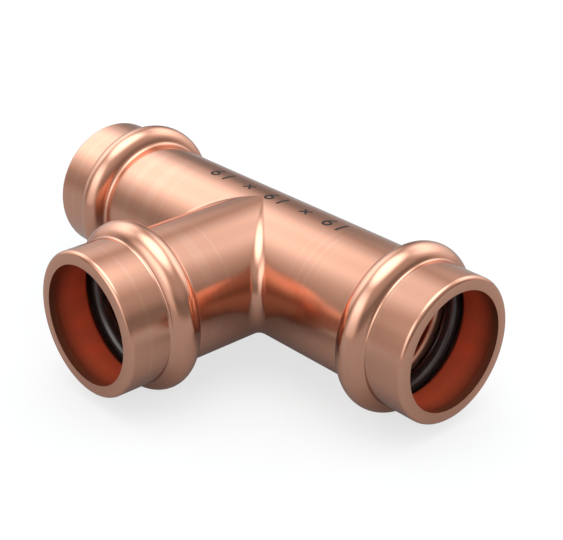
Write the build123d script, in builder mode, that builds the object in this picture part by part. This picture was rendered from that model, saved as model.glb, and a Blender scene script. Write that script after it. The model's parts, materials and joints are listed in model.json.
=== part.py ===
"""Copper pipe tee with three sealed sockets for a 19.05 mm (3/4 in) tube.

The run lies along X and the branch points to -Y, with the crossing of their axes at the origin.
All lengths are in millimetres.

The body is one formed piece of copper. Each end has, from its mouth inwards, an inturned lip that
centres the tube, a plain guide, a rolled bead that holds a rubber ring on its inside, and a bored
socket that ends at the tube stop.
"""

import os

from build123d import *

# Tube and sockets
tube_diameter = 19.05
tube_clearance = 0.075
socket_depth = 23.0
stop_height = 0.6

# Body
wall = 1.44
run_neck = 7.91
branch_neck = 1.63
crotch_radius = 1.5
inner_crotch_radius = 0.4

# Rubber ring
seal_section = 2.62
seal_tube_gap = 0.025
seal_groove_gap = 0.05
seal_side_room = 0.74

# Guide between the mouth and the bead
guide_length = 7.25
guide_play = 0.61
lip_length = 1.2
lip_rounding = 0.3
mouth_rounding = 0.7

# Bead and the groove inside it
bead_top_wall = 1.42
bead_side_wall = 0.62
bead_front_fillet = 0.45
bead_rear_fillet = 0.3
groove_corner = 0.9
groove_front_rounding = 0.95
groove_rear_rounding = 1.39

# Radii that follow, measured from a tube's axis
bore_radius = tube_diameter / 2 + tube_clearance
body_radius = bore_radius + wall
waterway_radius = bore_radius - stop_height
guide_bore_radius = bore_radius + guide_play
guide_radius = guide_bore_radius + wall
seal_radius = tube_diameter / 2 + seal_tube_gap + seal_section / 2
groove_radius = seal_radius + seal_section / 2 + seal_groove_gap
bead_arc_radius = seal_section / 2 + seal_side_room + bead_side_wall
bead_arc_centre = groove_radius + bead_top_wall - bead_arc_radius

# Distances that follow, measured from the crossing of the axes. A neck is the straight stretch
# between the side of the crossing tube and a tube stop
run_stop = body_radius + run_neck
branch_stop = body_radius + branch_neck
run_end = run_stop + socket_depth
branch_end = branch_stop + socket_depth

# Depths that follow, measured from a mouth
bead_depth = guide_length + bead_arc_radius
groove_start = bead_depth - seal_section / 2 - seal_side_room
groove_end = bead_depth + seal_section / 2 + seal_side_room

# The plane of each mouth: its x axis runs into the socket, its y axis points away from the tube's axis
mouths = {
    "run_seal_right": Plane(origin=(run_end, 0, 0), x_dir=(-1, 0, 0), z_dir=(0, 1, 0)),
    "run_seal_left": Plane(origin=(-run_end, 0, 0), x_dir=(1, 0, 0), z_dir=(0, -1, 0)),
    "branch_seal": Plane(origin=(0, -branch_end, 0), x_dir=(0, 1, 0), z_dir=(1, 0, 0)),
}


def tube_axis(mouth):
    """The axis of the tube that enters at a mouth."""
    return Axis(mouth.origin, mouth.x_dir)


def turned(start, end, radius):
    """The half section of a round bar or bore between two depths."""
    with Locations(((start + end) / 2, radius / 2)):
        Rectangle(end - start, radius)


def corner(section, depth, radius):
    """The corner of a section that is nearest to a depth and radius."""
    return section.vertices().sort_by_distance((depth, radius, 0))[0]


def crossing(radius, crotch):
    """The run and the branch between their tube stops, made as a quarter and mirrored.

    The run is turned so that its seam runs along the side where the branch opens.
    """
    with BuildPart() as tubes:
        Cylinder(radius, 2 * run_stop, rotation=(0, 90, -90))
        Cylinder(radius, branch_stop, rotation=(90, 0, 0), align=(Align.CENTER, Align.CENTER, Align.MIN))
        Box(run_stop, 2 * branch_stop, radius, align=(Align.MIN, Align.CENTER, Align.MIN), mode=Mode.INTERSECT)
        fillet(tubes.edges().filter_by(GeomType.ELLIPSE), crotch)
        mirror(about=Plane.YZ)
        mirror(about=Plane.XY)
    return tubes.part


outer_crossing = crossing(body_radius, crotch_radius)
inner_crossing = crossing(waterway_radius, inner_crotch_radius)

# Bores of all three ends and their crossing, as one solid to cut from the body
with BuildPart() as bores:
    add(inner_crossing)
    for mouth in mouths.values():
        with BuildSketch(mouth) as inside:
            turned(0, lip_length, bore_radius)
            turned(lip_length, groove_start, guide_bore_radius)
            turned(groove_start, groove_end, groove_radius)
            turned(groove_end, socket_depth, bore_radius)
            fillet(corner(inside, lip_length, guide_bore_radius), lip_rounding)
            fillet(corner(inside, groove_start, groove_radius), groove_corner)
            fillet(corner(inside, groove_end, groove_radius), groove_corner)
            fillet(corner(inside, groove_start, guide_bore_radius), groove_front_rounding)
            fillet(corner(inside, groove_end, bore_radius), groove_rear_rounding)
        revolve(axis=tube_axis(mouth))

# Copper body
with BuildPart() as tee_body:
    add(outer_crossing)
    for mouth in mouths.values():
        with BuildSketch(mouth) as outside:
            turned(0, bead_depth, guide_radius)
            turned(bead_depth, socket_depth, body_radius)
            with Locations((bead_depth, bead_arc_centre)):
                Circle(bead_arc_radius)
            fillet(corner(outside, 0, guide_radius), mouth_rounding)
            fillet(corner(outside, bead_depth - bead_arc_radius, guide_radius), bead_front_fillet)
            fillet(corner(outside, bead_depth + bead_arc_radius, body_radius), bead_rear_fillet)
        revolve(axis=tube_axis(mouth))
    add(bores.part, mode=Mode.SUBTRACT)

os.makedirs("parts", exist_ok=True)
tee_body.part.label = "tee_body"
export_step(tee_body.part, "parts/tee_body.step")

# Rubber rings, one in each bead
for name, mouth in mouths.items():
    with BuildPart() as seal:
        with BuildSketch(mouth):
            with Locations((bead_depth, seal_radius)):
                Circle(seal_section / 2)
        revolve(axis=tube_axis(mouth))
    seal.part.label = name
    export_step(seal.part, "parts/" + name + ".step")
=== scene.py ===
"""Looks of the copper pipe tee: polished copper body, black rubber rings and a plain size mark.

Lengths are in metres and angles in degrees, unless a name says otherwise. The tee lies on its three
beads, with the run along X and the branch towards -Y.
"""

import json
import math

import bmesh
import bpy
from mathutils import Matrix, Vector


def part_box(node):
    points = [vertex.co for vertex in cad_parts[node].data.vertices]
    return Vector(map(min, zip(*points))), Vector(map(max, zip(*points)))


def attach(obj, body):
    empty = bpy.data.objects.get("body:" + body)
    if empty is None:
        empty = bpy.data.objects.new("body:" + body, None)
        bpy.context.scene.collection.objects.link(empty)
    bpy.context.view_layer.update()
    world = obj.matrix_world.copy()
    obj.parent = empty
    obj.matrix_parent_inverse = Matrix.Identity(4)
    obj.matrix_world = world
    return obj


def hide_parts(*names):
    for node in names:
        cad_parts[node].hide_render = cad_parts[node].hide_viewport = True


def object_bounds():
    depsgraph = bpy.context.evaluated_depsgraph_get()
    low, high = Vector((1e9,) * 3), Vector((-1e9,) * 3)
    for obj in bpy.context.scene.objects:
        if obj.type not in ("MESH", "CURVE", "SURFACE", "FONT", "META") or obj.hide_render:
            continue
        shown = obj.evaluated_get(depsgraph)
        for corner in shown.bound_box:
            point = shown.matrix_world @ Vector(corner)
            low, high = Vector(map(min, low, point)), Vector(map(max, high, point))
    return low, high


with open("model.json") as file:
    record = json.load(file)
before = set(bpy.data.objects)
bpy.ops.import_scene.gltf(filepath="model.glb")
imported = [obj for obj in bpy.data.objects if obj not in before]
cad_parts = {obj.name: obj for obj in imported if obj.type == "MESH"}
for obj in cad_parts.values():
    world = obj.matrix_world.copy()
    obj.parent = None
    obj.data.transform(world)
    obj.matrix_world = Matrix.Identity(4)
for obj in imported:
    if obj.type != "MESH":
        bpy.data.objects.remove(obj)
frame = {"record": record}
cad_low, cad_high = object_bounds()

MM = 0.001

# The photograph's frame and camera. The camera looks at a point just beside the crossing of the axes
PHOTO_WIDTH = 563
FOCAL_LENGTH_PIXELS = 1349.1
SENSOR_WIDTH_MM = 36.0
CAMERA_AZIMUTH = 47.534
CAMERA_ELEVATION = 26.455
CAMERA_ROLL = 0.533
CAMERA_DISTANCE = 223.16 * MM
AIM_RIGHT = 2.975 * MM
AIM_UP = -2.135 * MM
CLIP_START = 10 * MM

# The body's own sizes. Those that other pieces share are read from the frame: the ends, the bores, the
# tube stop, and the rubber ring that sits in the middle of each bead. The crotch and the bead's rear foot
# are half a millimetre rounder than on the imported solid, because their highlights are that wide
WALL = 1.44 * MM
CROTCH_RADIUS = 2.0 * MM
INNER_CROTCH_RADIUS = 0.4 * MM
GUIDE_PLAY = 0.61 * MM
LIP_LENGTH = 1.2 * MM
LIP_ROUNDING = 0.3 * MM
MOUTH_ROUNDING = 0.7 * MM
RING_GAP = 0.05 * MM
RING_SIDE_ROOM = 0.74 * MM
BEAD_SIDE_WALL = 0.62 * MM
BEAD_FRONT_FILLET = 0.45 * MM
BEAD_REAR_FILLET = 0.8 * MM
GROOVE_CORNER = 0.9 * MM
GROOVE_FRONT_ROUNDING = 0.95 * MM
GROOVE_REAR_ROUNDING = 1.39 * MM

mounts = {mount["name"]: mount for mount in frame["record"]["mounts"]}
ring_low, ring_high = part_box("run_seal_right")
RUN_END = cad_high.x
BRANCH_END = -cad_low.y
STOP_DEPTH = RUN_END - mounts["run_socket_right"]["pos_m"][0]
BORE_RADIUS = mounts["run_socket_right"]["dims"]["r_mm"] * MM
WATERWAY_RADIUS = mounts["run_waterway"]["dims"]["r_mm"] * MM
BODY_RADIUS = BORE_RADIUS + WALL
GUIDE_BORE_RADIUS = BORE_RADIUS + GUIDE_PLAY
GUIDE_RADIUS = GUIDE_BORE_RADIUS + WALL
GROOVE_RADIUS = ring_high.z + RING_GAP
GROOVE_HALF = (ring_high.x - ring_low.x) / 2 + RING_SIDE_ROOM
BEAD_DEPTH = RUN_END - (ring_high.x + ring_low.x) / 2
BEAD_ARC = GROOVE_HALF + BEAD_SIDE_WALL
BEAD_CENTRE = cad_high.z - BEAD_ARC
GROOVE_START = BEAD_DEPTH - GROOVE_HALF
GROOVE_END = BEAD_DEPTH + GROOVE_HALF
HOLLOW_DEPTH = BEAD_DEPTH + BEAD_ARC

# The middle of a noise texture's values, where most of them lie, and where most sums of two lie
NOISE_MIDDLE = 0.5
NOISE_RANGE = (0.3, 0.7)
NOISE_PAIR_RANGE = (0.7, 1.3)


def linear(colour):
    """An sRGB hex colour as linear red, green and blue."""
    parts = [int(colour[i:i + 2], 16) / 255 for i in (1, 3, 5)]
    return tuple(p / 12.92 if p <= 0.04045 else ((p + 0.055) / 1.055) ** 2.4 for p in parts)


def node(tree, kind, inputs=None, curve=(), **settings):
    """Add a node with its settings. Each input is a value, or the output that feeds it.

    A curve is a list of (position, level).
    """
    made = tree.nodes.new(kind)
    for name, value in settings.items():
        setattr(made, name, value)
    for name, value in (inputs or {}).items():
        if isinstance(value, bpy.types.NodeSocket):
            tree.links.new(value, made.inputs[name])
        elif isinstance(value, str):
            made.inputs[name].default_value = (*linear(value), 1.0)
        else:
            made.inputs[name].default_value = value
    for place, (position, level) in enumerate(curve):
        if place >= len(made.color_ramp.elements):
            made.color_ramp.elements.new(position)
        made.color_ramp.elements[place].position = position
        made.color_ramp.elements[place].color = (level, level, level, 1.0)
    return made


def material(name):
    """A new node material with an empty tree, and its tree."""
    made = bpy.data.materials.new(name)
    made.use_nodes = True
    made.node_tree.nodes.clear()
    return made, made.node_tree


def place_camera():
    """The photograph's own camera."""
    azimuth, elevation, roll = (math.radians(a) for a in (CAMERA_AZIMUTH, CAMERA_ELEVATION, CAMERA_ROLL))
    back = Vector((math.sin(azimuth) * math.cos(elevation), -math.cos(azimuth) * math.cos(elevation),
                   math.sin(elevation)))
    level_right = Vector((math.cos(azimuth), math.sin(azimuth), 0))
    level_up = back.cross(level_right)
    right = math.cos(roll) * level_right + math.sin(roll) * level_up
    up = math.cos(roll) * level_up - math.sin(roll) * level_right
    place = AIM_RIGHT * right + AIM_UP * up + CAMERA_DISTANCE * back
    camera = bpy.data.objects.new("camera", bpy.data.cameras.new("camera"))
    bpy.context.scene.collection.objects.link(camera)
    camera.matrix_world = Matrix.Translation(place) @ Matrix((right, up, back)).transposed().to_4x4()
    camera.data.sensor_width = SENSOR_WIDTH_MM
    camera.data.lens = SENSOR_WIDTH_MM * FOCAL_LENGTH_PIXELS / PHOTO_WIDTH
    camera.data.clip_start = CLIP_START
    bpy.context.scene.camera = camera


# Light levels of the studio, as (elevation, level), where 1 shows a colour as it is written. The
# ceiling's level is the same all round. The three walls stand at -Y, +Y and -X, and the +X side is open
CEILING = [(-14, 0.21), (-4, 0.16), (2, 0.02), (15, 0.0), (25, 0.16), (34, 0.24), (46, 0.27), (51, 0.34),
           (56, 0.65), (60, 1.11), (65, 1.78), (70, 2.30), (85, 2.80)]
WALLS = [(-14, 0.0), (-4, 0.18), (1, 0.53), (15, 0.92), (30, 1.44), (35, 1.51), (41, 1.36), (46, 1.07),
         (50, 0.74), (55, 0.22), (58, 0.0)]
# How far from a wall's middle its light starts to fade, and where it ends
WALL_FADE = (12, 48)
# Bright parts of the studio are a little cool, from one level to the other
COOL_WHITE = "#EDF8FF"
COOL_FROM = (0.40, 0.65)
# How much of the white background the metal mirrors
WHITE_IN_METAL = 0.20
# The share of the studio's light that is left where it comes by way of two reflections or more
SECOND_REFLECTION = 0.6
# A ray's depth after its first reflection, which is one more where it reaches the world than at a surface
FIRST_DEPTH_AT_WORLD = 2
FIRST_DEPTH_AT_SURFACE = 1


def reflection_level(tree, path, first_depth):
    """1, or the share that is left of the light that the metal mirrors by way of itself.

    A ray depth over the first depth is a second reflection or a later one.
    """
    second = node(tree, "ShaderNodeMath", {0: path.outputs["Ray Depth"], 1: first_depth},
                  operation="GREATER_THAN")
    second = node(tree, "ShaderNodeMath", {0: second.outputs[0], 1: path.outputs["Is Glossy Ray"]},
                  operation="MULTIPLY")
    level = node(tree, "ShaderNodeMix", {"Factor": second.outputs[0], "A": 1.0, "B": SECOND_REFLECTION},
                 data_type="FLOAT")
    return level.outputs["Result"]


def seen_directly(tree, path):
    """1 for what the camera sees itself or through anything clear, and 0 for what is mirrored or lights."""
    seen = node(tree, "ShaderNodeMath", {0: path.outputs["Is Camera Ray"],
                                         1: path.outputs["Is Transmission Ray"]}, operation="MAXIMUM")
    return seen.outputs[0]


def wall_share(tree, direction):
    """The share of the walls' light in a direction, by how far round it is from the nearest wall's middle."""
    flat = node(tree, "ShaderNodeVectorMath", {0: direction, 1: (1.0, 1.0, 0.0)}, operation="MULTIPLY")
    flat = node(tree, "ShaderNodeVectorMath", {0: flat.outputs[0]}, operation="NORMALIZE")
    flat = node(tree, "ShaderNodeSeparateXYZ", {"Vector": flat.outputs[0]})
    along_y = node(tree, "ShaderNodeMath", {0: flat.outputs["Y"]}, operation="ABSOLUTE")
    along_x = node(tree, "ShaderNodeMath", {0: flat.outputs["X"], 1: -1.0}, operation="MULTIPLY")
    facing = node(tree, "ShaderNodeMath", {0: along_y.outputs[0], 1: along_x.outputs[0]}, operation="MAXIMUM")
    aside = node(tree, "ShaderNodeMath", {0: facing.outputs[0]}, operation="ARCCOSINE")
    full, none = (math.radians(angle) for angle in WALL_FADE)
    share = node(tree, "ShaderNodeMapRange", {"Value": aside.outputs[0], "From Min": none, "From Max": full},
                 interpolation_type="SMOOTHSTEP")
    return share.outputs["Result"]


def light_studio():
    """White behind the object for the camera, and a soft ceiling and three walls of light for the rest."""
    world = bpy.data.worlds.new("studio")
    bpy.context.scene.world = world
    world.use_nodes = True
    tree = world.node_tree
    tree.nodes.clear()
    path = node(tree, "ShaderNodeLightPath")
    direction = node(tree, "ShaderNodeTexCoord").outputs["Generated"]
    parts = node(tree, "ShaderNodeSeparateXYZ", {"Vector": direction})
    elevation = node(tree, "ShaderNodeMath", {0: parts.outputs["Z"]}, operation="ARCSINE")
    height = node(tree, "ShaderNodeMapRange", {"Value": elevation.outputs[0], "From Min": -math.pi / 2,
                                               "From Max": math.pi / 2})

    # The levels lie along a ramp from straight down to straight up
    ceiling, walls = (
        node(tree, "ShaderNodeValToRGB", {"Fac": height.outputs["Result"]},
             curve=[((angle + 90) / 180, level) for angle, level in levels])
        for levels in (CEILING, WALLS)
    )

    # Dull surfaces are lit as if the walls stood all round
    share = node(tree, "ShaderNodeMath", {0: wall_share(tree, direction), 1: path.outputs["Is Diffuse Ray"]},
                 operation="MAXIMUM")
    studio = node(tree, "ShaderNodeMath", {0: share.outputs[0], 1: walls.outputs["Color"],
                                           2: ceiling.outputs["Color"]}, operation="MULTIPLY_ADD")
    brightness = node(tree, "ShaderNodeMapRange", {"Value": studio.outputs[0], "From Min": COOL_FROM[0],
                                                   "From Max": COOL_FROM[1]})

    # White for the camera and through anything clear, and a share of it in what is mirrored
    mirrored = node(tree, "ShaderNodeMath", {0: path.outputs["Is Glossy Ray"], 1: WHITE_IN_METAL,
                                             2: studio.outputs[0]}, operation="MULTIPLY_ADD")
    level = reflection_level(tree, path, FIRST_DEPTH_AT_WORLD)
    mirrored = node(tree, "ShaderNodeMath", {0: mirrored.outputs[0], 1: level}, operation="MULTIPLY")
    seen = seen_directly(tree, path)
    strength = node(tree, "ShaderNodeMix", {"Factor": seen, "A": mirrored.outputs[0], "B": 1.0},
                    data_type="FLOAT")
    cool = node(tree, "ShaderNodeMath", {0: brightness.outputs["Result"], 1: seen},
                operation="SUBTRACT", use_clamp=True)
    colour = node(tree, "ShaderNodeMix", {"Factor": cool.outputs[0], "A": "#FFFFFF", "B": COOL_WHITE},
                  data_type="RGBA")
    background = node(tree, "ShaderNodeBackground", {"Color": colour.outputs["Result"],
                                                     "Strength": strength.outputs["Result"]})
    node(tree, "ShaderNodeOutputWorld", {"Surface": background.outputs[0]})


FLOOR_SIZE = 6.0
FLOOR_GAP = 0.02 * MM
# The floor's colour as the camera sees it, and the darker one that the metal mirrors
FLOOR_COLOUR = "#F6F0EA"
FLOOR_COLOUR_IN_METAL = "#969696"
# How much of the floor is plain white, whatever falls on it, so that the shadow stays soft
FLOOR_WHITE = 0.7
FLOOR_WHITE_IN_METAL = 0.055
# From where to where the floor fades out of what the metal mirrors, so that no horizon shows in it
FLOOR_FADE_IN_METAL = (60 * MM, 400 * MM)


def lay_floor():
    """A plain pale floor under the beads, with the tee's soft shadow on it."""
    bpy.ops.mesh.primitive_plane_add(size=FLOOR_SIZE, location=(0, 0, cad_low.z - FLOOR_GAP))
    floor = bpy.context.object
    floor.name = "floor"
    made, tree = material("pale_floor")
    path = node(tree, "ShaderNodeLightPath")
    seen = seen_directly(tree, path)
    colour = node(tree, "ShaderNodeMix", {"Factor": seen, "A": FLOOR_COLOUR_IN_METAL, "B": FLOOR_COLOUR},
                  data_type="RGBA")
    level = reflection_level(tree, path, FIRST_DEPTH_AT_SURFACE)
    colour = node(tree, "ShaderNodeMix", {"Factor": level, "A": "#000000", "B": colour.outputs["Result"]},
                  data_type="RGBA")
    shaded = node(tree, "ShaderNodeBsdfDiffuse", {"Color": colour.outputs["Result"]})
    white = node(tree, "ShaderNodeEmission", {"Color": "#FFFFFF", "Strength": level})
    mirrored = node(tree, "ShaderNodeMath", {0: path.outputs["Is Glossy Ray"], 1: FLOOR_WHITE_IN_METAL},
                    operation="MULTIPLY")
    share = node(tree, "ShaderNodeMath", {0: seen, 1: FLOOR_WHITE, 2: mirrored.outputs[0]},
                 operation="MULTIPLY_ADD")
    surface = node(tree, "ShaderNodeMixShader", {"Fac": share.outputs[0], 1: shaded.outputs[0],
                                                 2: white.outputs[0]})

    # Far from the tee the metal mirrors what is behind the floor
    place = node(tree, "ShaderNodeTexCoord")
    reach = node(tree, "ShaderNodeVectorMath", {0: place.outputs["Object"]}, operation="LENGTH")
    near, far = FLOOR_FADE_IN_METAL
    fading = node(tree, "ShaderNodeMapRange", {"Value": reach.outputs["Value"], "From Min": near,
                                               "From Max": far}, interpolation_type="SMOOTHSTEP")
    fading = node(tree, "ShaderNodeMath", {0: fading.outputs["Result"], 1: path.outputs["Is Glossy Ray"]},
                  operation="MULTIPLY")
    clear = node(tree, "ShaderNodeBsdfTransparent")
    surface = node(tree, "ShaderNodeMixShader", {"Fac": fading.outputs[0], 1: surface.outputs[0],
                                                 2: clear.outputs[0]})
    node(tree, "ShaderNodeOutputMaterial", {"Surface": surface.outputs[0]})
    floor.data.materials.append(made)


# How finely the body's mesh is divided: columns round a tube, the most that a face turns or spans along
# an arc of the section, and faces across the fillet of the crotch
COLUMNS = 240
ARC_TURN = 11
ARC_SPAN = 0.19 * MM
CROTCH_FACES = 12
# The fillet of the crotch is a single line where it turns less than this
LEAST_TURN = 0.01
# Points this near to each other are made one
WELD = 0.0001 * MM
# Faces that turn more than this from one to the next meet in a sharp edge
SHARP_ANGLE = 40


def arc(depth, radius, size, start, end):
    """Points along an arc of an end's section, about a centre at a depth and radius."""
    steps = max(math.ceil(abs(end - start) / ARC_TURN),
                math.ceil(math.radians(abs(end - start)) * size / ARC_SPAN))
    angles = [math.radians(start + (end - start) * step / steps) for step in range(steps + 1)]
    return [(depth + size * math.cos(angle), radius + size * math.sin(angle)) for angle in angles]


def bead_foot(tube_radius, fillet, side):
    """The centre of the fillet between a tube and the bead, and its direction from the bead's centre."""
    rise = tube_radius + fillet - BEAD_CENTRE
    reach = math.sqrt((BEAD_ARC + fillet) ** 2 - rise ** 2)
    return BEAD_DEPTH + side * reach, tube_radius + fillet, math.degrees(math.atan2(rise, side * reach))


def end_section():
    """An end's section as (depth, radius): over the bead to the mouth, and back inside to the tube stop."""
    rear_depth, rear_radius, rear = bead_foot(BODY_RADIUS, BEAD_REAR_FILLET, 1)
    front_depth, front_radius, front = bead_foot(GUIDE_RADIUS, BEAD_FRONT_FILLET, -1)
    corner = GROOVE_RADIUS - GROOVE_CORNER
    return [
        *arc(rear_depth, rear_radius, BEAD_REAR_FILLET, -90, rear - 180),
        *arc(BEAD_DEPTH, BEAD_CENTRE, BEAD_ARC, rear, front)[1:],
        *arc(front_depth, front_radius, BEAD_FRONT_FILLET, front - 180, -90)[1:],
        *arc(MOUTH_ROUNDING, GUIDE_RADIUS - MOUTH_ROUNDING, MOUTH_ROUNDING, 90, 180),
        (0, BORE_RADIUS),
        (LIP_LENGTH, BORE_RADIUS),
        *arc(LIP_LENGTH + LIP_ROUNDING, GUIDE_BORE_RADIUS - LIP_ROUNDING, LIP_ROUNDING, 180, 90),
        *arc(GROOVE_START - GROOVE_FRONT_ROUNDING, GUIDE_BORE_RADIUS + GROOVE_FRONT_ROUNDING,
             GROOVE_FRONT_ROUNDING, -90, 0),
        *arc(GROOVE_START + GROOVE_CORNER, corner, GROOVE_CORNER, 180, 90),
        *arc(GROOVE_END - GROOVE_CORNER, corner, GROOVE_CORNER, 90, 0),
        *arc(GROOVE_END + GROOVE_REAR_ROUNDING, BORE_RADIUS + GROOVE_REAR_ROUNDING,
             GROOVE_REAR_ROUNDING, 180, 270),
        (STOP_DEPTH, BORE_RADIUS),
        (STOP_DEPTH, WATERWAY_RADIUS),
    ]


def add_grid(mesh, grid):
    """Add rows of points, with faces between them."""
    rows = [[mesh.verts.new(point) for point in row] for row in grid]
    for row, following in zip(rows, rows[1:]):
        for corners in zip(row, row[1:], following[1:], following):
            mesh.faces.new(corners)


def new_piece(mesh, name):
    """An object in the scene with the finished mesh, its faces turned outwards."""
    bmesh.ops.recalc_face_normals(mesh, faces=mesh.faces)
    piece = bpy.data.objects.new(name, bpy.data.meshes.new(name))
    mesh.to_mesh(piece.data)
    mesh.free()
    bpy.context.scene.collection.objects.link(piece)
    return piece


def crotch_fillet(radius, fillet, side, angle):
    """Points across the fillet between the run and the branch, at an angle above the level of the axes.

    A ball that touches both tubes rolls from the top of the crossing to its underside.
    """
    run_touch = Vector((0, math.cos(angle), -math.sin(angle)))
    branch_touch = Vector((-side * math.cos(angle), 0, -math.sin(angle)))
    ball = Vector((side * math.cos(angle), -math.cos(angle), math.sin(angle))) * (radius + fillet)
    if run_touch.angle(branch_touch) < math.radians(LEAST_TURN):
        return [ball + run_touch * fillet] * (CROTCH_FACES + 1)
    shares = [step / CROTCH_FACES for step in range(CROTCH_FACES + 1)]
    return [ball + run_touch.slerp(branch_touch, share) * fillet for share in shares]


def tube_line(section, end, facing):
    """One line along a tube as (distance, radius), from the crossing to the mouth and back inside.

    Facing is 1 where the line lies on the side of the other tube, so that it starts at the crotch, and 0 or
    less where it starts at the middle of the tee.
    """
    outer = (BODY_RADIUS + CROTCH_RADIUS) * max(facing, 0)
    inner = (WATERWAY_RADIUS + INNER_CROTCH_RADIUS) * max(facing, 0)
    points = [(end - depth, radius) for depth, radius in section]
    return [(outer, BODY_RADIUS), *points, (inner, WATERWAY_RADIUS)]


def copper_body():
    """The one-piece copper body: the section of an end turned round each axis, and the rounded crotch."""
    mesh = bmesh.new()
    section = end_section()
    angles = [2 * math.pi * step / COLUMNS for step in range(COLUMNS + 1)]
    for side in (1, -1):
        add_grid(mesh, [
            [(side * distance, -radius * math.cos(angle), radius * math.sin(angle))
             for distance, radius in tube_line(section, RUN_END, math.cos(angle))]
            for angle in angles
        ])
    add_grid(mesh, [
        [(radius * math.cos(angle), -distance, radius * math.sin(angle))
         for distance, radius in tube_line(section, BRANCH_END, abs(math.cos(angle)))]
        for angle in angles
    ])
    quarter = COLUMNS // 4
    for radius, fillet in ((BODY_RADIUS, CROTCH_RADIUS), (WATERWAY_RADIUS, INNER_CROTCH_RADIUS)):
        for side in (1, -1):
            add_grid(mesh, [crotch_fillet(radius, fillet, side, 2 * math.pi * step / COLUMNS)
                            for step in range(-quarter, quarter + 1)])
    bmesh.ops.remove_doubles(mesh, verts=mesh.verts, dist=WELD)
    bmesh.ops.dissolve_degenerate(mesh, edges=mesh.edges, dist=WELD)
    body = new_piece(mesh, "copper_body")
    body.data.shade_smooth()
    body.data.set_sharp_from_angle(angle=math.radians(SHARP_ANGLE))
    # The tubes' long faces lead the shading where they run into an arc
    shading = body.modifiers.new("shading", "WEIGHTED_NORMAL")
    shading.keep_sharp = True
    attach(body, "root")
    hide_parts("tee_body")
    return body


# Drawn copper tube. Rolling and polishing turn it under the tool, which leaves fine lines round each limb
COPPER_COLOUR = "#F7B395"
COPPER_PALE_COLOUR = "#FFC9B0"
COPPER_ROUGHNESS = (0.12, 0.15)
# The finest lines stand about 0.1 mm apart. Here they are further apart, so that they show
LINE_SPACING = 0.5 * MM
LINE_DEPTH = 0.00012 * MM
# Pale streaks in pairs stand out, one each side of where a slow wave along the limb passes its middle
STREAK_WAVE = 17.0 * MM
STREAK_ASIDE = 0.03
STREAK_WIDTH = 0.005
STREAK_PALENESS = 0.2
CLOUD_SIZE = 9.0 * MM
# The polishing wheel doesn't reach well into the hollow behind a bead, so the shine is softer there. It is
# softest within the first distance from the hollow, and as elsewhere beyond the second
HOLLOW_ROUGHNESS = 0.12
HOLLOW_REACH = (0.5 * MM, 1.3 * MM)
# Nor does it reach well into the two inner corners between the run and the branch. The softer shine comes
# in as the copper turns to face a corner, and over the first stretch behind the hollow
CORNER_ROUGHNESS = 0.06
CORNER_FACING = (0.45, 0.85)
CORNER_STRETCH = 2.0 * MM
# How much the copper faces away from its tube's axis where the inside starts, and where it is wholly inside
INSIDE_FACING = (0.05, -0.25)
# From its mouth to the end of the groove, the inside of an end keeps a dull, brick-red skin from the
# annealing furnace. Its colour is darkened along the rim, a painted shade
SKIN_COLOUR = "#FF6C46"
SKIN_PAINTED_SHADE_COLOUR = "#743E2A"
SKIN_PAINTED_SHADE_DEPTH = (0.2 * MM, 5.2 * MM)
SKIN_ROUGHNESS = 0.18
SKIN_METALLIC = 0.33
# In the groove the skin is painted dark brown, a painted shade in that recess
GROOVE_PAINTED_SHADE_COLOUR = "#7E4C38"
# How long the skin takes to turn to the groove's painted shade where the groove starts, and to end behind it
GROOVE_PAINTED_SHADE_START = GROOVE_CORNER / 3
GROOVE_SKIN_END = GROOVE_CORNER / 2


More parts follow.
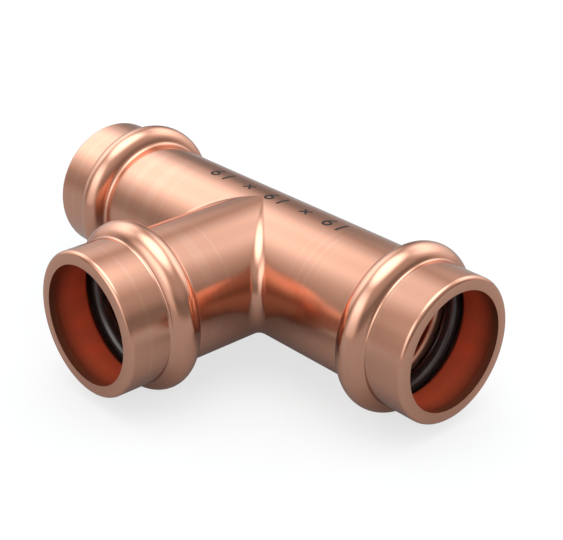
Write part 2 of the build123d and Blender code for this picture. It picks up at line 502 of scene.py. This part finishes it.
def limb_coordinates(tree):
    """Where a point of the body lies on its limb.

    That is its place, its distance along the axis, its depth from the mouth, whether it is on the inside,
    and how far it faces an inner corner between the run and the branch.
    """
    spot = node(tree, "ShaderNodeTexCoord")
    place = node(tree, "ShaderNodeSeparateXYZ", {"Vector": spot.outputs["Object"]})
    sideways = node(tree, "ShaderNodeMath", {0: place.outputs["X"]}, operation="ABSOLUTE")
    outwards = node(tree, "ShaderNodeMath", {0: place.outputs["Y"], 1: -1.0}, operation="MULTIPLY")

    # A point belongs to the branch where it is further out along -Y than along X
    on_branch = node(tree, "ShaderNodeMath", {0: outwards.outputs[0], 1: sideways.outputs[0]},
                     operation="GREATER_THAN")
    along = node(tree, "ShaderNodeMix", {"Factor": on_branch.outputs[0], "A": place.outputs["X"],
                                         "B": place.outputs["Y"]}, data_type="FLOAT")
    run_depth = node(tree, "ShaderNodeMath", {0: RUN_END, 1: sideways.outputs[0]}, operation="SUBTRACT")
    branch_depth = node(tree, "ShaderNodeMath", {0: BRANCH_END, 1: outwards.outputs[0]}, operation="SUBTRACT")
    depth = node(tree, "ShaderNodeMix", {"Factor": on_branch.outputs[0], "A": run_depth.outputs[0],
                                         "B": branch_depth.outputs[0]}, data_type="FLOAT")
    around = node(tree, "ShaderNodeMix", {"Factor": on_branch.outputs[0], "A": (0.0, 1.0, 1.0),
                                          "B": (1.0, 0.0, 1.0)}, data_type="VECTOR")
    radial = node(tree, "ShaderNodeVectorMath", {0: spot.outputs["Object"], 1: around.outputs["Result"]},
                  operation="MULTIPLY")
    radial = node(tree, "ShaderNodeVectorMath", {0: radial.outputs[0]}, operation="NORMALIZE")
    outward = node(tree, "ShaderNodeVectorMath", {0: radial.outputs[0], 1: spot.outputs["Normal"]},
                   operation="DOT_PRODUCT")
    inside = node(tree, "ShaderNodeMapRange", {"Value": outward.outputs["Value"],
                                               "From Min": INSIDE_FACING[0], "From Max": INSIDE_FACING[1]})

    # The run faces the inner corners with its -Y side, and the branch with both its sides
    normal = node(tree, "ShaderNodeSeparateXYZ", {"Vector": spot.outputs["Normal"]})
    run_facing = node(tree, "ShaderNodeMath", {0: normal.outputs["Y"], 1: -1.0}, operation="MULTIPLY")
    branch_facing = node(tree, "ShaderNodeMath", {0: normal.outputs["X"]}, operation="ABSOLUTE")
    facing = node(tree, "ShaderNodeMix", {"Factor": on_branch.outputs[0], "A": run_facing.outputs[0],
                                          "B": branch_facing.outputs[0]}, data_type="FLOAT")
    results = (measure.outputs["Result"] for measure in (along, depth, inside, facing))
    return (spot.outputs["Object"], *results)


def turned_marks(tree, along):
    """Fine lines and pale streaks, which run round a limb and so change only along its axis."""
    lines = node(tree, "ShaderNodeTexNoise", {"W": along, "Scale": 1 / LINE_SPACING, "Detail": 2.0},
                 noise_dimensions="1D")
    wave = node(tree, "ShaderNodeTexNoise", {"W": along, "Scale": 1 / STREAK_WAVE, "Detail": 1.0},
                noise_dimensions="1D")
    aside = node(tree, "ShaderNodeMath", {0: wave.outputs["Fac"], 1: NOISE_MIDDLE}, operation="SUBTRACT")
    aside = node(tree, "ShaderNodeMath", {0: aside.outputs[0]}, operation="ABSOLUTE")
    streaks = node(tree, "ShaderNodeMath", {0: aside.outputs[0], 1: STREAK_ASIDE, 2: STREAK_WIDTH},
                   operation="COMPARE")
    return lines.outputs["Fac"], streaks.outputs[0]


def softer_shine(tree, depth, facing):
    """How much rougher the polish is in the hollow behind a bead and in the inner corners."""
    away = node(tree, "ShaderNodeMath", {0: depth, 1: HOLLOW_DEPTH}, operation="SUBTRACT")
    away = node(tree, "ShaderNodeMath", {0: away.outputs[0]}, operation="ABSOLUTE")
    whole, end = HOLLOW_REACH
    hollow = node(tree, "ShaderNodeMapRange", {"Value": away.outputs[0], "From Min": end, "From Max": whole,
                                               "To Max": HOLLOW_ROUGHNESS}, interpolation_type="SMOOTHSTEP")
    corner = node(tree, "ShaderNodeMapRange", {"Value": facing, "From Min": CORNER_FACING[0],
                                               "From Max": CORNER_FACING[1], "To Max": CORNER_ROUGHNESS},
                  interpolation_type="SMOOTHSTEP")
    behind = node(tree, "ShaderNodeMapRange", {"Value": depth, "From Min": HOLLOW_DEPTH,
                                               "From Max": HOLLOW_DEPTH + CORNER_STRETCH})
    corner = node(tree, "ShaderNodeMath", {0: corner.outputs["Result"], 1: behind.outputs["Result"]},
                  operation="MULTIPLY")
    softer = node(tree, "ShaderNodeMath", {0: hollow.outputs["Result"], 1: corner.outputs[0]},
                  operation="MAXIMUM")
    return softer.outputs[0]


def skin_with_painted_shade(tree, depth, inside):
    """Where the dull skin covers the copper, and its colour, with painted shade at the rim and in the groove.
    """
    cover = node(tree, "ShaderNodeMapRange", {"Value": depth, "From Min": GROOVE_END + GROOVE_SKIN_END,
                                              "From Max": GROOVE_END})
    cover = node(tree, "ShaderNodeMath", {0: cover.outputs["Result"], 1: inside}, operation="MULTIPLY")
    # Painted shade: the skin's colour is darker towards the rim
    past_painted_shade = node(tree, "ShaderNodeMapRange", {"Value": depth, "From Min": SKIN_PAINTED_SHADE_DEPTH[0],
                                            "From Max": SKIN_PAINTED_SHADE_DEPTH[1]}, interpolation_type="SMOOTHSTEP")
    colour = node(tree, "ShaderNodeMix", {"Factor": past_painted_shade.outputs["Result"], "A": SKIN_PAINTED_SHADE_COLOUR,
                                          "B": SKIN_COLOUR}, data_type="RGBA")
    # Painted shade: the skin turns dark brown in the groove
    groove_painted_shade = node(tree, "ShaderNodeMapRange", {"Value": depth, "From Min": GROOVE_START,
                                                "From Max": GROOVE_START + GROOVE_PAINTED_SHADE_START})
    colour = node(tree, "ShaderNodeMix", {"Factor": groove_painted_shade.outputs["Result"], "A": colour.outputs["Result"],
                                          "B": GROOVE_PAINTED_SHADE_COLOUR}, data_type="RGBA")
    return cover.outputs[0], colour.outputs["Result"]


def polished_copper():
    """Polished copper: a warm mirror blurred along fine turned lines, and a dull skin with painted shade
    inside.
    """
    made, tree = material("polished_copper")
    spot, along, depth, inside, facing = limb_coordinates(tree)
    lines, streaks = turned_marks(tree, along)

    # The polish is thinner in the lines and in faint clouds
    clouds = node(tree, "ShaderNodeTexNoise", {"Vector": spot, "Scale": 1 / CLOUD_SIZE, "Detail": 3.0})
    worn = node(tree, "ShaderNodeMath", {0: lines, 1: clouds.outputs["Fac"]}, operation="ADD")
    polish = node(tree, "ShaderNodeMapRange", {
        "Value": worn.outputs[0],
        "From Min": NOISE_PAIR_RANGE[0],
        "From Max": NOISE_PAIR_RANGE[1],
        "To Min": COPPER_ROUGHNESS[0],
        "To Max": COPPER_ROUGHNESS[1],
    })
    polish = node(tree, "ShaderNodeMath", {0: polish.outputs["Result"], 1: softer_shine(tree, depth, facing)},
                  operation="ADD")
    paleness = node(tree, "ShaderNodeMath", {0: streaks, 1: STREAK_PALENESS}, operation="MULTIPLY")
    bright = node(tree, "ShaderNodeMix", {"Factor": paleness.outputs[0], "A": COPPER_COLOUR,
                                          "B": COPPER_PALE_COLOUR}, data_type="RGBA")
    relief = node(tree, "ShaderNodeBump", {"Height": lines, "Distance": LINE_DEPTH})

    # The skin's colour carries painted shade along the rim and in the groove
    cover, dull = skin_with_painted_shade(tree, depth, inside)
    colour = node(tree, "ShaderNodeMix", {"Factor": cover, "A": bright.outputs["Result"], "B": dull},
                  data_type="RGBA")
    roughness = node(tree, "ShaderNodeMix", {"Factor": cover, "A": polish.outputs[0], "B": SKIN_ROUGHNESS},
                     data_type="FLOAT")
    metallic = node(tree, "ShaderNodeMix", {"Factor": cover, "A": 1.0, "B": SKIN_METALLIC},
                    data_type="FLOAT")
    surface = node(tree, "ShaderNodeBsdfPrincipled", {
        "Base Color": colour.outputs["Result"],
        "Metallic": metallic.outputs["Result"],
        "Roughness": roughness.outputs["Result"],
        "Normal": relief.outputs["Normal"],
    })
    node(tree, "ShaderNodeOutputMaterial", {"Surface": surface.outputs[0]})
    return made


# How finely a rubber ring's mesh is divided: round the ring, and round its section
RING_COLUMNS = 192
RING_SECTION_POINTS = 32


def rubber_ring(name):
    """A ring of the frame's own size and place, with a finer mesh, because its shine shows every facet."""
    low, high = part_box(name)
    size = high - low
    thin = min(range(3), key=lambda axis: size[axis])
    flat, other = (axis for axis in range(3) if axis != thin)
    section = size[thin] / 2
    radius = max(size) / 2 - section
    middle = (low[thin] + high[thin]) / 2
    grid = []
    for column in range(RING_COLUMNS + 1):
        turn = 2 * math.pi * column / RING_COLUMNS
        row = []
        for step in range(RING_SECTION_POINTS + 1):
            angle = 2 * math.pi * step / RING_SECTION_POINTS
            reach = radius + section * math.cos(angle)
            point = Vector()
            point[thin] = middle + section * math.sin(angle)
            point[flat] = reach * math.cos(turn)
            point[other] = reach * math.sin(turn)
            row.append(point)
        grid.append(row)
    mesh = bmesh.new()
    add_grid(mesh, grid)
    bmesh.ops.remove_doubles(mesh, verts=mesh.verts, dist=WELD)
    ring = new_piece(mesh, "rubber_" + name)
    ring.data.shade_smooth()
    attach(ring, "root")
    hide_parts(name)
    return ring


# Nitrile rubber, moulded in a polished cavity and wiped with grease, which gives it a strong soft shine
RUBBER_COLOUR = "#2A2422"
RUBBER_BLOOM_COLOUR = "#39322F"
RUBBER_ROUGHNESS = (0.16, 0.24)
RUBBER_IOR = 1.6
RUBBER_SPECULAR_LEVEL = 0.95
RUBBER_SPECULAR_TINT = "#FFEDE4"
RUBBER_GRAIN = 0.25 * MM
RUBBER_GRAIN_DEPTH = 0.0008 * MM
RUBBER_BLOOM_SIZE = 3.0 * MM


def moulded_rubber():
    """Black rubber: a soft grey shine from the grease, with a faint bloom and a fine grain."""
    made, tree = material("moulded_rubber")
    spot = node(tree, "ShaderNodeTexCoord").outputs["Object"]
    bloom = node(tree, "ShaderNodeTexNoise", {"Vector": spot, "Scale": 1 / RUBBER_BLOOM_SIZE, "Detail": 2.0})
    colour = node(tree, "ShaderNodeMix", {"Factor": bloom.outputs["Fac"], "A": RUBBER_COLOUR,
                                          "B": RUBBER_BLOOM_COLOUR}, data_type="RGBA")
    shine = node(tree, "ShaderNodeMapRange", {
        "Value": bloom.outputs["Fac"],
        "From Min": NOISE_RANGE[0],
        "From Max": NOISE_RANGE[1],
        "To Min": RUBBER_ROUGHNESS[0],
        "To Max": RUBBER_ROUGHNESS[1],
    })
    grain = node(tree, "ShaderNodeTexNoise", {"Vector": spot, "Scale": 1 / RUBBER_GRAIN})
    relief = node(tree, "ShaderNodeBump", {"Height": grain.outputs["Fac"], "Distance": RUBBER_GRAIN_DEPTH})
    surface = node(tree, "ShaderNodeBsdfPrincipled", {
        "Base Color": colour.outputs["Result"],
        "Roughness": shine.outputs["Result"],
        "IOR": RUBBER_IOR,
        "Specular IOR Level": RUBBER_SPECULAR_LEVEL,
        "Specular Tint": RUBBER_SPECULAR_TINT,
        "Normal": relief.outputs["Normal"],
    })
    node(tree, "ShaderNodeOutputMaterial", {"Surface": surface.outputs[0]})
    return made


# The size mark: the outside diameters of the three tubes in millimetres, etched on top of the run. Its
# middle is measured along X, and its baseline is turned from the top of the run, away from the branch
MARK_TEXT = "19 \u00d7 19 \u00d7 19"
MARK_SIZE = 4.1 * MM
MARK_BOLDNESS = 0.03 * MM
MARK_LETTER_SPACE = 1.3
MARK_WORD_SPACE = 1.7
MARK_MIDDLE = 2.3 * MM
MARK_BASELINE_ANGLE = -12.0
MARK_PROUD = 0.015 * MM
MARK_SUNK = 0.04 * MM
# How wide the strips are that let the letters follow the tube
MARK_STRIP = 0.25 * MM


def size_mark():
    """Thin letters bent round the run. They read from +X to -X, with their tops towards the branch."""
    curve = bpy.data.curves.new("size_mark_text", "FONT")
    curve.body = MARK_TEXT
    curve.size = MARK_SIZE
    curve.space_character = MARK_LETTER_SPACE
    curve.space_word = MARK_WORD_SPACE
    curve.align_x = "CENTER"
    curve.extrude = (MARK_PROUD + MARK_SUNK) / 2
    curve.offset = MARK_BOLDNESS
    flat = bpy.data.objects.new("size_mark_text", curve)
    bpy.context.scene.collection.objects.link(flat)
    bpy.context.view_layer.update()
    mesh = bmesh.new()
    mesh.from_mesh(bpy.data.meshes.new_from_object(flat))
    bpy.data.objects.remove(flat)
    bmesh.ops.remove_doubles(mesh, verts=mesh.verts, dist=WELD)

    # Cut into strips and bent round the tube
    height = max(vertex.co.y for vertex in mesh.verts)
    for strip in range(1, math.ceil(height / MARK_STRIP)):
        bmesh.ops.bisect_plane(mesh, geom=[*mesh.verts, *mesh.edges, *mesh.faces],
                               plane_co=(0, strip * MARK_STRIP, 0), plane_no=(0, 1, 0))
    middle = BODY_RADIUS + (MARK_PROUD - MARK_SUNK) / 2
    baseline = math.radians(MARK_BASELINE_ANGLE)
    for vertex in mesh.verts:
        angle = baseline + vertex.co.y / BODY_RADIUS
        radius = middle + vertex.co.z
        vertex.co = (MARK_MIDDLE - vertex.co.x, -radius * math.sin(angle), radius * math.cos(angle))
    mark = new_piece(mesh, "size_mark")
    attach(mark, "root")
    return mark


# Acid darkens the copper to a brown film, which is deeper in some spots than in others
MARK_COLOURS = ("#120A07", "#301C13")
MARK_ROUGHNESS = 0.5
MARK_METALLIC = 0.2
MARK_GRAIN = 0.35 * MM


def etched_copper():
    """Copper darkened by the marking acid: a thin brown film that is patchy and not quite dull."""
    made, tree = material("etched_copper")
    spot = node(tree, "ShaderNodeTexCoord").outputs["Object"]
    patches = node(tree, "ShaderNodeTexNoise", {"Vector": spot, "Scale": 1 / MARK_GRAIN, "Detail": 2.0})
    colour = node(tree, "ShaderNodeMix", {"Factor": patches.outputs["Fac"], "A": MARK_COLOURS[0],
                                          "B": MARK_COLOURS[1]}, data_type="RGBA")
    surface = node(tree, "ShaderNodeBsdfPrincipled", {
        "Base Color": colour.outputs["Result"],
        "Metallic": MARK_METALLIC,
        "Roughness": MARK_ROUGHNESS,
    })
    node(tree, "ShaderNodeOutputMaterial", {"Surface": surface.outputs[0]})
    return made


place_camera()
light_studio()
lay_floor()

copper_body().data.materials.append(polished_copper())
size_mark().data.materials.append(etched_copper())

rubber = moulded_rubber()
for name in ("run_seal_right", "run_seal_left", "branch_seal"):
    rubber_ring(name).data.materials.append(rubber)

bpy.context.scene.view_settings.view_transform = "Standard"
